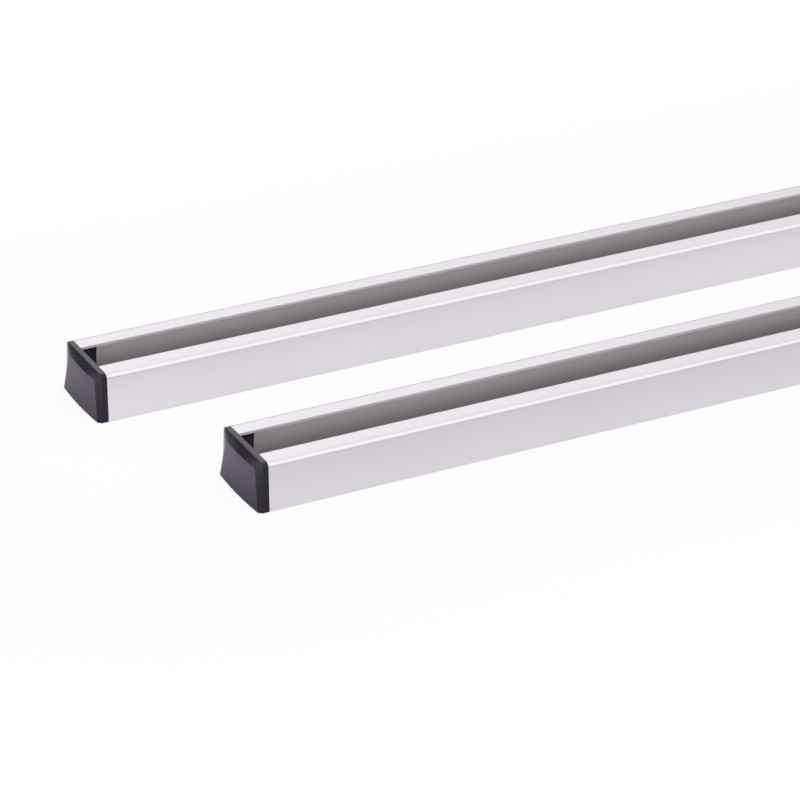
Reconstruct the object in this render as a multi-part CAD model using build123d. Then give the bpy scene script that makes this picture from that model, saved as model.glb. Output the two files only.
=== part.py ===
from build123d import *
import os

# A pair of roof tent mounting rails. Each rail is a straight extruded channel with a slot along
# its top, closed at both ends by a moulded cap that pushes into the channel. The rails lie side
# by side, the front one further along than the rear one. Lengths are in millimetres. X runs
# along the rails, Y across them and Z up, from the middle of the ground that the pair covers.

# The pair
rail_length = 1200.0
rail_spacing = 134.0  # between the rails' centre lines
rail_stagger = 37.0  # how much further along the front rail lies

# The channel's section
top_width = 50.0
foot_width = 53.5  # the side walls lean outwards towards the bottom
rail_height = 30.0
slot_width = 26.0
side_wall = 2.5
floor_wall = 2.5
lip_thickness = 2.0
shoulder_radius = 3.0  # outer corners along the top
foot_radius = 0.8  # outer corners along the bottom
channel_radius = 0.8  # inner corners
lip_edge_radius = 0.4

# The cap's outside. A reach is measured outwards from the end of the rail.
flange_thickness = 3.2
face_reach = 7.2  # the middle of the raised face's foot
face_crown = 1.3  # how far the face falls back towards the sides
face_lean = 1.75  # how far it leans back over the height of the rail
face_middle_drop = 5.7  # from the top of the rail to the middle of the face's arched upper edge
face_corner_drop = 7.5  # the same to the upper corners
face_inset_low = 3.4  # from the side of the rail to the face, at the bottom
face_inset_high = 10.2  # the same at the upper corners
face_corner_radius = 3.5
face_edge_radius = 0.6

# The cap's plug, a tray that stands in the channel
plug_depth = 13.5
plug_wall = 2.0
plug_lead = 0.8  # chamfer that starts the plug into the channel
pocket_depth = 2.6  # how far the tray reaches into the cap
fit_clearance = 0.2  # between the plug and the channel

# Places that follow from these sizes
wall_lean = (foot_width - top_width) / 2
lip_underside = rail_height - lip_thickness
plug_bottom = floor_wall + fit_clearance
plug_top = lip_underside - fit_clearance
plug_inset = side_wall + fit_clearance
tray_inset = plug_inset + plug_wall
tray_floor = plug_bottom + plug_wall

UPRIGHT = (Align.CENTER, Align.MIN)


def half_width(height):
    """Half of the rail's outer width at a height."""
    return foot_width / 2 - wall_lean * height / rail_height


def leaning_outline(bottom, top, inset):
    """An outline whose sides stand a distance inside the rail's and lean with them."""
    low = half_width(bottom) - inset
    high = half_width(top) - inset
    return make_face(Polyline((-low, bottom), (low, bottom), (high, top), (-high, top), close=True))


def shoulder_outline():
    """The end's outline before its foot corners are rounded."""
    outline = leaning_outline(0, rail_height, 0)
    return fillet(outline.vertices().group_by(Axis.Y)[-1], shoulder_radius)


def end_outline():
    """The outer outline that the channel and the cap share."""
    outline = shoulder_outline()
    return fillet(outline.vertices().group_by(Axis.Y)[0], foot_radius)


def rail_section():
    """The channel's section: a box open along its top between two lips."""
    channel = leaning_outline(floor_wall, lip_underside, side_wall)
    channel = fillet(channel.vertices(), channel_radius)
    slot = Pos(0, rail_height / 2) * Rectangle(slot_width, rail_height / 2, align=UPRIGHT)
    section = end_outline() - channel - slot
    lip_edges = section.vertices().filter_by(lambda v: abs(abs(v.X) - slot_width / 2) < lip_edge_radius / 2)
    return fillet(lip_edges, lip_edge_radius)


def rail():
    """One channel, centred along its length."""
    return extrude(Plane.YZ * rail_section(), amount=rail_length / 2, both=True)


def face_outline():
    """The raised face's outline: narrow and arched at its top and wide at its foot."""
    corner_height = rail_height - face_corner_drop
    low = half_width(0) - face_inset_low
    high = half_width(corner_height) - face_inset_high
    arch = ThreePointArc((high, corner_height), (0, rail_height - face_middle_drop), (-high, corner_height))
    sides = Polyline((-high, corner_height), (-low, 0), (low, 0), (high, corner_height))
    outline = make_face(arch + sides)
    return fillet(outline.vertices().group_by(Axis.Y)[-1], face_corner_radius)


def bowed_plan(height, middle, crown):
    """A plan at a height, from the end of the rail out to a front that bows across it."""
    half = half_width(height)
    side = middle - crown
    bow = ThreePointArc((-side, -half), (-middle, 0), (-side, half))
    sides = Polyline((-side, half), (0, half), (0, -half), (-side, -half))
    return Pos(0, 0, height) * make_face(bow + sides)


def bowed_front():
    """A block as high as the rail with a bowed front that leans back."""
    foot = bowed_plan(0, face_reach, face_crown)
    top = bowed_plan(rail_height, face_reach - face_lean, face_crown)
    return loft([foot, top], ruled=True)


def cap_outside():
    """The flange and the bevels that rise from it to the raised face."""
    flange = extrude(Plane.YZ * shoulder_outline(), amount=-flange_thickness)
    face_plane = Plane(origin=(-face_reach, 0, 0), x_dir=(0, 1, 0), z_dir=(rail_height, 0, -face_lean))
    flange_front = Plane.YZ.offset(-flange_thickness)
    bevels = loft([flange_front * shoulder_outline(), face_plane * face_outline()], ruled=True)
    outside = (flange + bevels) & bowed_front()
    face_edges = outside.faces().sort_by(Axis.X)[0].edges()
    outside = fillet(face_edges.sort_by(Axis.Z)[1:], face_edge_radius)
    return outside & extrude(Plane.YZ * end_outline(), amount=-face_reach)


def cap_plug():
    """The tray that pushes into the channel, open at its top and its inner end."""
    section = leaning_outline(plug_bottom, plug_top, plug_inset)
    section = fillet(section.vertices(), channel_radius)
    tray = extrude(Plane.YZ * section, amount=plug_depth)
    tray = chamfer(tray.faces().sort_by(Axis.X)[-1].edges(), plug_lead)
    hollow = leaning_outline(tray_floor, rail_height, tray_inset)
    return tray - extrude(Plane.YZ * hollow, amount=plug_depth)


def end_cap():
    """The cap for a left end, which stands out towards -X from the end of the rail at X = 0."""
    pocket = leaning_outline(tray_floor, plug_top - plug_wall, tray_inset)
    return cap_outside() + cap_plug() - extrude(Plane.YZ * pocket, amount=-pocket_depth)


os.makedirs("parts", exist_ok=True)
channel_shape = rail()
left_cap = Pos(-rail_length / 2, 0, 0) * end_cap()
right_cap = Rot(0, 0, 180) * left_cap

places = {
    "rear": Pos(-rail_stagger / 2, rail_spacing / 2, 0),
    "front": Pos(rail_stagger / 2, -rail_spacing / 2, 0),
}
for name, place in places.items():
    export_step(place * channel_shape, f"parts/{name}_rail.step")
    export_step(place * left_cap, f"parts/{name}_rail_left_end_cap.step")
    export_step(place * right_cap, f"parts/{name}_rail_right_end_cap.step")
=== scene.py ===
"""Finishes, light and camera for a pair of roof tent mounting rails.

Each rail is an anodised aluminium channel with a moulded plastic cap pushed into each end. The
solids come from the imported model, and this script dresses them. Lengths are in metres.
"""

import logging
import math
from collections.abc import Mapping, Sequence
from dataclasses import dataclass
from enum import Enum
from typing import Any

import bpy
from mathutils import Matrix, Vector


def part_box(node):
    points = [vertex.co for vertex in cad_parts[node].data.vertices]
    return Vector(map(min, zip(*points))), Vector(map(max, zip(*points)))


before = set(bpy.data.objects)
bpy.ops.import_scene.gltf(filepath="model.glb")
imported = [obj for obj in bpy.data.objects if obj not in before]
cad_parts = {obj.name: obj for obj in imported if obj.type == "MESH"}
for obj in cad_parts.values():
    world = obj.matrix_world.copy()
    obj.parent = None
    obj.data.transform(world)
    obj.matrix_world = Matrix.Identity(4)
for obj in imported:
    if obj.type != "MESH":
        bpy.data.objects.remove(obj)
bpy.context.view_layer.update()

log = logging.getLogger("rails")

MM = 0.001
PHOTO_PIXELS = 800
SENSOR_WIDTH_MM = 36.0

Colour = tuple[float, float, float]
Point = tuple[float, float, float]
Stops = tuple[tuple[float, float], ...]

WHITE: Colour = (1.0, 1.0, 1.0)
MIX_COLOURS_IN = (6, 7)  # the places of a Mix node's colour sockets
MIX_COLOUR_OUT = 2


class Place(Enum):
    """Where a rail lies in the pair."""

    REAR = "rear"
    FRONT = "front"


class End(Enum):
    """The end of a rail that a cap closes."""

    LEFT = "left"
    RIGHT = "right"


class Value:
    """A node's output that can be written into an expression."""

    def __init__(self, graph: "Graph", socket: bpy.types.NodeSocket) -> None:
        """Keeps the socket and the graph that it belongs to."""
        self.graph = graph
        self.socket = socket

    def _maths(self, operation: str, *terms: "Value | float") -> "Value":
        """The result of a Math node's operation on some terms."""
        return self.graph.add("ShaderNodeMath", {"operation": operation}, dict(enumerate(terms)))[0]

    def __add__(self, other: "Value | float") -> "Value":
        """This value plus another."""
        return self._maths("ADD", self, other)

    def __sub__(self, other: "Value | float") -> "Value":
        """This value less another."""
        return self._maths("SUBTRACT", self, other)

    def __mul__(self, other: "Value | float") -> "Value":
        """This value times another."""
        return self._maths("MULTIPLY", self, other)

    __radd__ = __add__
    __rmul__ = __mul__

    def __rsub__(self, other: float) -> "Value":
        """A number less this value."""
        return self._maths("SUBTRACT", other, self)

    def __abs__(self) -> "Value":
        """This value without its sign."""
        return self._maths("ABSOLUTE", self)

    def root(self) -> "Value":
        """The square root of this value."""
        return self._maths("SQRT", self)

    def at_least(self, other: "Value | float") -> "Value":
        """The larger of this value and another."""
        return self._maths("MAXIMUM", self, other)

    def ramp(self, start: float, end: float) -> "Value":
        """A smooth step from 0 at start to 1 at end, which may be below start."""
        settings = {"interpolation_type": "SMOOTHSTEP"}
        return self.graph.add("ShaderNodeMapRange", settings, {0: self, 1: start, 2: end})[0]


class Outputs:
    """A node's outputs, by name or by place."""

    def __init__(self, graph: "Graph", node: bpy.types.Node) -> None:
        """Keeps the node and the graph that it belongs to."""
        self.graph = graph
        self.node = node

    def __getitem__(self, key: str | int) -> Value:
        """The output of that name or place."""
        return Value(self.graph, self.node.outputs[key])


class Graph:
    """A node tree with one way to add any node."""

    def __init__(self, tree: bpy.types.NodeTree) -> None:
        """Empties a material's or the world's node tree."""
        self.tree = tree
        tree.nodes.clear()

    def add(
        self,
        kind: str,
        settings: Mapping[str, Any] | None = None,
        inputs: Mapping[str | int, Any] | None = None,
    ) -> Outputs:
        """Adds a node.

        Args:
            kind: The node's type, such as ShaderNodeTexNoise.
            settings: Its properties, set first. stops are a colour ramp's positions and greys.
            inputs: What goes into its sockets, by name or place: numbers, colours or outputs.

        Returns:
            The node's outputs.
        """
        node = self.tree.nodes.new(kind)
        for name, setting in (settings or {}).items():
            if name == "stops":
                self._set_stops(node.color_ramp, setting)
            else:
                setattr(node, name, setting)
        for key, given in (inputs or {}).items():
            if isinstance(given, Value):
                self.tree.links.new(given.socket, node.inputs[key])
            else:
                node.inputs[key].default_value = given
        return Outputs(self, node)

    @staticmethod
    def _set_stops(ramp: bpy.types.ColorRamp, stops: Sequence[tuple[float, float]]) -> None:
        """Sets a colour ramp to stops of grey.

        Args:
            ramp: The colour ramp.
            stops: Positions from 0 to 1, each with its brightness.
        """
        while len(ramp.elements) < len(stops):
            ramp.elements.new(1.0)
        for element, (position, brightness) in zip(ramp.elements, stops):
            element.position = position
            element.color = (brightness, brightness, brightness, 1.0)

    def mixed(self, factor: Value, low: Value | Colour, high: Value | Colour) -> Value:
        """Mixes two colours.

        Args:
            factor: 0 for the first colour and 1 for the second.
            low: The first colour.
            high: The second colour.

        Returns:
            The mixed colour.
        """
        inputs: dict[str | int, Any] = {0: factor}
        for key, given in zip(MIX_COLOURS_IN, (low, high)):
            inputs[key] = given if isinstance(given, Value) else (*given, 1.0)
        return self.add("ShaderNodeMix", {"data_type": "RGBA"}, inputs)[MIX_COLOUR_OUT]

    def parts(self, vector: Value) -> tuple[Value, Value, Value]:
        """Splits a place or a direction.

        Args:
            vector: What is split.

        Returns:
            Its parts along X, Y and Z.
        """
        parts = self.add("ShaderNodeSeparateXYZ", None, {0: vector})
        return parts[0], parts[1], parts[2]

    def relief(self, height: Value, depth: float) -> Value:
        """The normals of a fine relief that is given as a height from 0 to 1."""
        inputs = {"Height": height, "Distance": depth, "Strength": 1.0}
        return self.add("ShaderNodeBump", None, inputs)[0]

    def rays(self) -> tuple[Value, Value]:
        """Tells apart the rays that reach a surface.

        Returns:
            1 for the camera's own rays, and 1 for those that metal or glass sends on.
        """
        rays = self.add("ShaderNodeLightPath")
        return rays["Is Camera Ray"], rays["Is Glossy Ray"].at_least(rays["Is Transmission Ray"])


@dataclass(frozen=True)
class Pattern:
    """An uneven pattern, about 0.5 on average."""

    scale: float  # how many features a metre has
    detail: float  # how many finer layers it has
    roughness: float = 0.5  # how strong the finer layers are

    def on(self, graph: Graph, place: Value) -> Value:
        """Adds the pattern as a noise texture.

        Args:
            graph: The material's graph.
            place: The place on the piece.

        Returns:
            The pattern's value there.
        """
        inputs = {
            "Vector": place,
            "Scale": self.scale,
            "Detail": self.detail,
            "Roughness": self.roughness,
        }
        return graph.add("ShaderNodeTexNoise", None, inputs)[0]


def new_material(name: str) -> tuple[bpy.types.Material, Graph]:
    """Makes an empty node material.

    Args:
        name: The material's name.

    Returns:
        The material and its graph.
    """
    material = bpy.data.materials.new(name)
    material.use_nodes = True
    return material, Graph(material.node_tree)


@dataclass(frozen=True)
class RailPlace:
    """A rail's place and length, which its patterns are centred on."""

    middle: Vector
    half_length: float

    def centred(self, graph: Graph) -> Value:
        """Adds Object coordinates measured from the rail's middle, on the ground.

        Args:
            graph: The material's graph.

        Returns:
            The place on the piece, in metres.
        """
        place = graph.add("ShaderNodeTexCoord")["Object"]
        shift = {"Vector": place, "Location": -self.middle}
        return graph.add("ShaderNodeMapping", {"vector_type": "POINT"}, shift)[0]


@dataclass(frozen=True)
class AnodisedAluminium:
    """Satin anodised extrusion, with faint lines that the die leaves along the rail."""

    colour: Colour = (0.85, 0.81, 0.86)
    cloudy_colour: Colour = (0.82, 0.78, 0.83)
    # painted light and shade on the channel's inner walls: lighter at the top, darker at the foot
    channel_lit_top_colour: Colour = (0.91, 0.88, 0.865)
    channel_shaded_foot_colour: Colour = (0.345, 0.335, 0.32)
    roughness: float = 0.34
    channel_roughness: float = 0.5
    lip_edge_roughness: float = 0.75
    clouds: Pattern = Pattern(9.0, 3.0)
    cloud_start: float = 0.35  # the pattern's values between which the colour changes
    cloud_end: float = 0.65
    cloud_share: float = 0.6  # the clouds' part in the change of colour, beside the grain's
    grain: Pattern = Pattern(5200.0, 2.0)
    die_lines: Pattern = Pattern(1100.0, 3.0, 0.7)
    line_stretch: float = 0.004  # how much slower the lines change along the rail
    line_roughness: float = 0.05
    line_depth: float = 0.004 * MM
    slot_half_width: float = 13.0 * MM
    wall_slope: float = 1.75 / 30  # how far the walls lean inwards over a rise of 1
    channel_half_width: float = 24.25 * MM  # at the height of the ground
    channel_bottom: float = 2.5 * MM
    channel_top: float = 28.0 * MM
    shade_bottom: float = 7.0 * MM  # painted shade on the inner walls fades to painted light between these heights, the part that shows through the slot
    shade_top: float = 23.0 * MM
    mask_edge: float = 0.3 * MM  # the step in which the masks are set off from the walls

    def build(self, name: str, place: RailPlace) -> bpy.types.Material:
        """Makes the finish.

        Args:
            name: The material's name.
            place: The rail that it goes on.

        Returns:
            The material.
        """
        material, graph = new_material(name)
        spot = place.centred(graph)
        _, across, height = graph.parts(spot)
        inside = self._inside(across, height)
        scaling = {0: spot, 1: (self.line_stretch, 1.0, 1.0)}
        drawn = graph.add("ShaderNodeVectorMath", {"operation": "MULTIPLY"}, scaling)[0]
        lines = self.die_lines.on(graph, drawn)
        dullness = self._dullness(inside, across) + (lines - 0.5) * self.line_roughness
        inputs = {
            "Base Color": self._colour(graph, spot, inside, height),
            "Metallic": 1.0,
            "Roughness": dullness,
            "Normal": graph.relief(lines, self.line_depth),
        }
        shader = graph.add("ShaderNodeBsdfPrincipled", None, inputs)[0]
        graph.add("ShaderNodeOutputMaterial", None, {"Surface": shader})
        return material

    def _colour(self, graph: Graph, spot: Value, inside: Value, height: Value) -> Value:
        """Mixes the metal's colours.

        Args:
            graph: The material's graph.
            spot: The place on the piece, from the rail's middle.
            inside: 1 on the walls of the channel.
            height: The height above the ground.

        Returns:
            A faintly uneven colour outside, and inside one with painted light at the top and
            painted shade that darkens it towards the foot.
        """
        clouds = self.clouds.on(graph, spot).ramp(self.cloud_start, self.cloud_end)
        uneven = clouds * self.cloud_share + self.grain.on(graph, spot) * (1.0 - self.cloud_share)
        outer = graph.mixed(uneven, self.colour, self.cloudy_colour)
        # paints shade on the inner walls, darkest at the foot, and light at the top
        painted_shade_to_light = height.ramp(self.shade_bottom, self.shade_top)
        shaded_inner = graph.mixed(painted_shade_to_light, self.channel_shaded_foot_colour, self.channel_lit_top_colour)
        return graph.mixed(inside, outer, shaded_inner)

    def _dullness(self, inside: Value, across: Value) -> Value:
        """Sets how dull the metal is.

        Args:
            inside: 1 on the walls of the channel.
            across: The distance from the rail's centre line, with its sign.

        Returns:
            The roughness, which is highest on the lips' edges.
        """
        lip_edge = abs(across).ramp(self.slot_half_width + self.mask_edge, self.slot_half_width)
        dullness = inside * (self.channel_roughness - self.roughness) + self.roughness
        return dullness.at_least(lip_edge * self.lip_edge_roughness)

    def _inside(self, across: Value, height: Value) -> Value:
        """Finds the walls of the channel.

        Args:
            across: The distance from the rail's centre line, with its sign.
            height: The height above the ground.

        Returns:
            1 on the walls and under the lips, and 0 on the floor and on the rail's outside.
        """
        edge = self.mask_edge
        aside = abs(across) + height * self.wall_slope
        sides = aside.ramp(self.channel_half_width + 3 * edge, self.channel_half_width + edge)
        top = height.ramp(self.channel_top + 2 * edge, self.channel_top + edge)
        floor = height.ramp(self.channel_bottom + edge, self.channel_bottom + 3 * edge)
        return sides * top * floor


@dataclass(frozen=True)
class MouldedPlastic:
    """Black plastic, with a spark-eroded grain on the raised face and smooth borders."""

    border_colour: Colour = (0.012, 0.0065, 0.020)
    rim_highlight_colour: Colour = (0.036, 0.024, 0.044)  # the top of the flange, painted lighter as a highlight
    rim_height: float = 29.6 * MM
    plug_colour: Colour = (0.022, 0.017, 0.026)
    face_colour: Colour = (0.066, 0.043, 0.092)
    # painted shade darkens the raised face towards its foot, up to face_top
    face_shaded_foot_colour: Colour = (0.028, 0.014, 0.042)
    face_top: float = 24.0 * MM
    border_roughness: float = 0.16
    face_roughness: float = 0.24
    specular_level: float = 0.3
    face_reach: float = 7.2 * MM  # from the end of the rail to the middle of the face's foot
    face_slope: float = 1.75 / 30  # how far the face leans back over a rise of 1
    face_crown: float = 1.3 * MM  # how far it falls back at the sides of the rail's foot
    foot_half_width: float = 26.75 * MM
    mask_near: float = 0.05 * MM  # how far behind the face's bowed front its finish begins to fade
    mask_far: float = 0.22 * MM
    grain: Pattern = Pattern(3600.0, 2.0, 0.6)
    grain_depth: float = 0.012 * MM
    border_grain: float = 0.25  # the grain's depth on the borders, as a share
    sheen: Pattern = Pattern(60.0, 2.0)
    sheen_roughness: float = 0.06

    def build(self, name: str, place: RailPlace) -> bpy.types.Material:
        """Makes the finish.

        Args:
            name: The material's name.
            place: The rail whose caps it goes on.

        Returns:
            The material.
        """
        material, graph = new_material(name)
        spot = place.centred(graph)
        along, across, height = graph.parts(spot)
        reach = abs(along) - place.half_length
        face = self._face(reach, across, height)
        roughness = face * (self.face_roughness - self.border_roughness) + self.border_roughness
        sheen = (self.sheen.on(graph, spot) - 0.5) * self.sheen_roughness
        relief = self.grain.on(graph, spot) * (face * (1.0 - self.border_grain) + self.border_grain)
        inputs = {
            "Base Color": self._colour(graph, face, reach, height),
            "Roughness": roughness + sheen,
            "Specular IOR Level": self.specular_level,
            "Normal": graph.relief(relief, self.grain_depth),
        }
        shader = graph.add("ShaderNodeBsdfPrincipled", None, inputs)[0]
        graph.add("ShaderNodeOutputMaterial", None, {"Surface": shader})
        return material

    def _colour(self, graph: Graph, face: Value, reach: Value, height: Value) -> Value:
        """Mixes the plastic's colours.

        Args:
            graph: The material's graph.
            face: 1 on the raised face.
            reach: How far out from the end of the rail the place lies.
            height: Its height above the ground.

        Returns:
            The colour of the face with painted shade at its foot, the borders with the painted
            highlight on their rim, or the plug.
        """
        # paints a highlight on the top of the flange
        rim_highlight = height.ramp(self.rim_height, self.rim_height + self.mask_far)
        border = graph.mixed(rim_highlight, self.border_colour, self.rim_highlight_colour)
        outside = reach.ramp(-self.mask_near, self.mask_near)
        beside = graph.mixed(outside, self.plug_colour, border)
        # paints shade on the raised face, darkest at its foot
        painted_shade_to_light = height.ramp(0.0, self.face_top)
        raised = graph.mixed(painted_shade_to_light, self.face_shaded_foot_colour, self.face_colour)
        return graph.mixed(face, beside, raised)

    def _face(self, reach: Value, across: Value, height: Value) -> Value:
        """Finds the raised face by its bowed, leaning front.

        Args:
            reach: How far out from the end of the rail the place lies.
            across: Its distance from the rail's centre line, with its sign.
            height: Its height above the ground.

        Returns:
            1 on the face and 0 on the borders round it.
        """
        bow = self.face_crown / self.foot_half_width**2
        front = self.face_reach - height * self.face_slope - across * across * bow
        return (front - reach).ramp(self.mask_far, self.mask_near)


@dataclass
class Rail:
    """One channel with its two caps."""

    place: Place
    metal: AnodisedAluminium = AnodisedAluminium()
    plastic: MouldedPlastic = MouldedPlastic()

    @property
    def channel(self) -> str:
        """The channel's node."""
        return f"{self.place.value}_rail"

    @property
    def caps(self) -> list[str]:
        """The nodes of the two caps."""
        return [f"{self.channel}_{end.value}_end_cap" for end in End]

    def measure(self) -> RailPlace:
        """Reads the channel's place from its imported mesh.

        Returns:
            The middle of its underside, and half its length.
        """
        low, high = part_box(self.channel)
        middle = Vector(((low.x + high.x) / 2, (low.y + high.y) / 2, low.z))
        return RailPlace(middle, (high.x - low.x) / 2)

    def dress(self) -> None:
        """Puts the finishes on the channel and its caps."""
        place = self.measure()
        metal = self.metal.build(f"{self.channel}_anodised_aluminium", place)
        plastic = self.plastic.build(f"{self.channel}_black_plastic", place)
        self._wear(self.channel, metal)
        for cap in self.caps:
            self._wear(cap, plastic)

    @staticmethod
    def _wear(node: str, material: bpy.types.Material) -> None:
        """Puts one finish on a node.

        Args:
            node: The node's name.
            material: The finish.
        """
        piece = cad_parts[node]
        piece.data.materials.clear()
        piece.data.materials.append(material)
        log.info("dressed %s in %s", node, material.name)


@dataclass(frozen=True)
class StudioFloor:
    """A plain white floor that keeps a soft shadow, with a pool of light painted round the rails:
    its colour darkens further off.
    """

    half_size: float = 9.0
    colour: float = 0.96
    # the painted dark of the floor beyond the pool of light
    far_colour: float = 0.30
    pool_half_length: float = 0.60
    pool_line: float = 0.03  # how far behind the middle the light is fullest
    pool_edge: float = 0.04  # how far from that line the floor begins to fall dark
    pool_end: float = 0.42
    shadow_share: float = 0.12  # how much of what the camera sees near the rails holds their shadow
    mirrored_glow: float = 0.1  # the share of even white in the rails' reflections of the floor

    def build(self) -> None:
        """Makes the floor just under the rails."""
        half = self.half_size
        corners = [(-half, -half, 0.0), (half, -half, 0.0), (half, half, 0.0), (-half, half, 0.0)]
        mesh = bpy.data.meshes.new("studio_floor")
        mesh.from_pydata(corners, [], [(0, 1, 2, 3)])
        mesh.materials.append(self._material())
        floor = bpy.data.objects.new("studio_floor", mesh)
        bpy.context.scene.collection.objects.link(floor)

    def _material(self) -> bpy.types.Material:
        """Makes the floor's white.

        Returns:
            The material.
        """
        material, graph = new_material("floor_white")
        along, across, _ = graph.parts(graph.add("ShaderNodeTexCoord")["Object"])
        beyond = (abs(along) - self.pool_half_length).at_least(0.0)
        aside = across - self.pool_line
        pool = (beyond * beyond + aside * aside).root().ramp(self.pool_end, self.pool_edge)
        camera, mirrored = graph.rays()
        shadowless = camera * (1.0 - pool * pool * self.shadow_share)
        glow = shadowless.at_least(mirrored * pool * self.mirrored_glow)
        # paints the pool of light: the floor's colour falls dark away from the rails
        grey = graph.mixed(pool, (self.far_colour,) * 3, (self.colour,) * 3)
        matt = graph.add("ShaderNodeBsdfDiffuse", None, {"Color": grey})[0]
        even = graph.add("ShaderNodeEmission", None, {"Color": (*WHITE, 1.0), "Strength": 1.0})[0]
        shader = graph.add("ShaderNodeMixShader", None, {0: glow, 1: matt, 2: even})[0]
        graph.add("ShaderNodeOutputMaterial", None, {"Surface": shader})
        return material


@dataclass(frozen=True)
class Softbox:
    """A rectangular lamp, even over its face."""

    name: str
    centre: Point
    aim: Point
    width: float
    height: float
    brightness: float  # of its face, where 1 is white

    def build(self) -> None:
        """Makes the lamp."""
        lamp = bpy.data.lights.new(self.name, "AREA")
        lamp.shape = "RECTANGLE"
        lamp.size = self.width
        lamp.size_y = self.height
        lamp.energy = self.brightness * math.pi * self.width * self.height
        softbox = bpy.data.objects.new(self.name, lamp)
        bpy.context.scene.collection.objects.link(softbox)
        facing = (Vector(self.aim) - Vector(self.centre)).to_track_quat("-Z", "Y")
        softbox.matrix_world = Matrix.LocRotScale(Vector(self.centre), facing, None)
        softbox.visible_camera = False


@dataclass(frozen=True)
class Studio:
    """The light round the rails: a sky that the metal mirrors, and a softbox.

    The sky's stops give its brightness at the upward part of a direction, from 0 to 1. The camera
    itself sees plain white.
    """

    sky_behind: Stops = (
        (0.0, 0.03),
        (0.16, 0.06),
        (0.38, 0.65),
        (0.46, 2.4),
        (0.54, 1.0),
        (1.0, 1.06),
    )
    sky_in_front: Stops = ((0.0, 1.0), (0.3, 1.2), (0.6, 1.3), (1.0, 1.05))
    front_edge: float = 0.1  # where the front begins, as the part of a direction towards -Y
    front_full: float = 0.6
    side_start: float = 0.2  # where the sky behind begins to fall off towards the rails' ends
    side_end: float = 0.9
    side_share: float = 0.6  # how bright it still is there
    mirrored_white: float = 0.2  # the share of the plain white background in reflections
    softbox: Softbox = Softbox(
        name="front_softbox",
        centre=(-1.6, -2.4, 2.2),
        aim=(-0.3, 0.0, 0.0),
        width=1.2,
        height=0.8,
        brightness=1.2,
    )

    def build(self) -> None:
        """Makes the world and the lamp."""
        world = bpy.data.worlds.new("studio")
        world.use_nodes = True
        bpy.context.scene.world = world
        graph = Graph(world.node_tree)
        camera, mirrored = graph.rays()
        white = camera.at_least(mirrored * self.mirrored_white)
        colour = graph.mixed(white, self._sky(graph), WHITE)
        background = graph.add("ShaderNodeBackground", None, {"Color": colour, "Strength": 1.0})[0]
        graph.add("ShaderNodeOutputWorld", None, {"Surface": background})
        self.softbox.build()

    def _sky(self, graph: Graph) -> Value:
        """Mixes the sky in front with the one behind.

        Args:
            graph: The world's graph.

        Returns:
            The sky's brightness in each direction.
        """
        along, across, up = graph.parts(graph.add("ShaderNodeTexCoord")["Generated"])
        forwards = 0.0 - across
        front = forwards.ramp(self.front_edge, self.front_full)
        ahead = graph.add("ShaderNodeValToRGB", {"stops": self.sky_in_front}, {0: up})[0]
        middle = graph.add("ShaderNodeValToRGB", {"stops": self.sky_behind}, {0: up})[0]
        level = abs(along).ramp(self.side_end, self.side_start) * (1.0 - self.side_share)
        scaling = {0: middle, "Scale": level + self.side_share}
        behind = graph.add("ShaderNodeVectorMath", {"operation": "SCALE"}, scaling)[0]
        return graph.mixed(front, behind, ahead)


@dataclass(frozen=True)
class PhotoCamera:
    """The photograph's view: from the left, above and in front, through a long lens."""

    azimuth: float = -28.488  # in degrees, as are the next two
    elevation: float = 27.8805
    roll: float = 1.2871
    aim: Point = (-0.455047, -0.007958, 0.0)
    distance: float = 2.13517
    focal_length_px: float = 3666.165

    def build(self) -> None:
        """Makes the camera and gives it to the scene."""
        turn, lift = math.radians(self.azimuth), math.radians(self.elevation)
        level = math.cos(lift)
        back = Vector((math.sin(turn) * level, -math.cos(turn) * level, math.sin(lift)))
        facing = (-back).to_track_quat("-Z", "Y").to_matrix().to_4x4()
        tilt = Matrix.Rotation(math.radians(self.roll), 4, "Z")
        lens = bpy.data.cameras.new("photo_camera")
        lens.sensor_width = SENSOR_WIDTH_MM
        lens.lens = self.focal_length_px / PHOTO_PIXELS * SENSOR_WIDTH_MM
        camera = bpy.data.objects.new("photo_camera", lens)
        bpy.context.scene.collection.objects.link(camera)
        place = Matrix.Translation(Vector(self.aim) + back * self.distance)
        camera.matrix_world = place @ facing @ tilt
        bpy.context.scene.camera = camera


def main() -> None:
    """Builds the scene."""
    logging.basicConfig(level=logging.INFO, format="%(message)s")
    bpy.context.scene.view_settings.view_transform = "Standard"
    PhotoCamera().build()
    Studio().build()
    StudioFloor().build()
    for place in Place:
        Rail(place).dress()


if __name__ == "__main__":
    main()
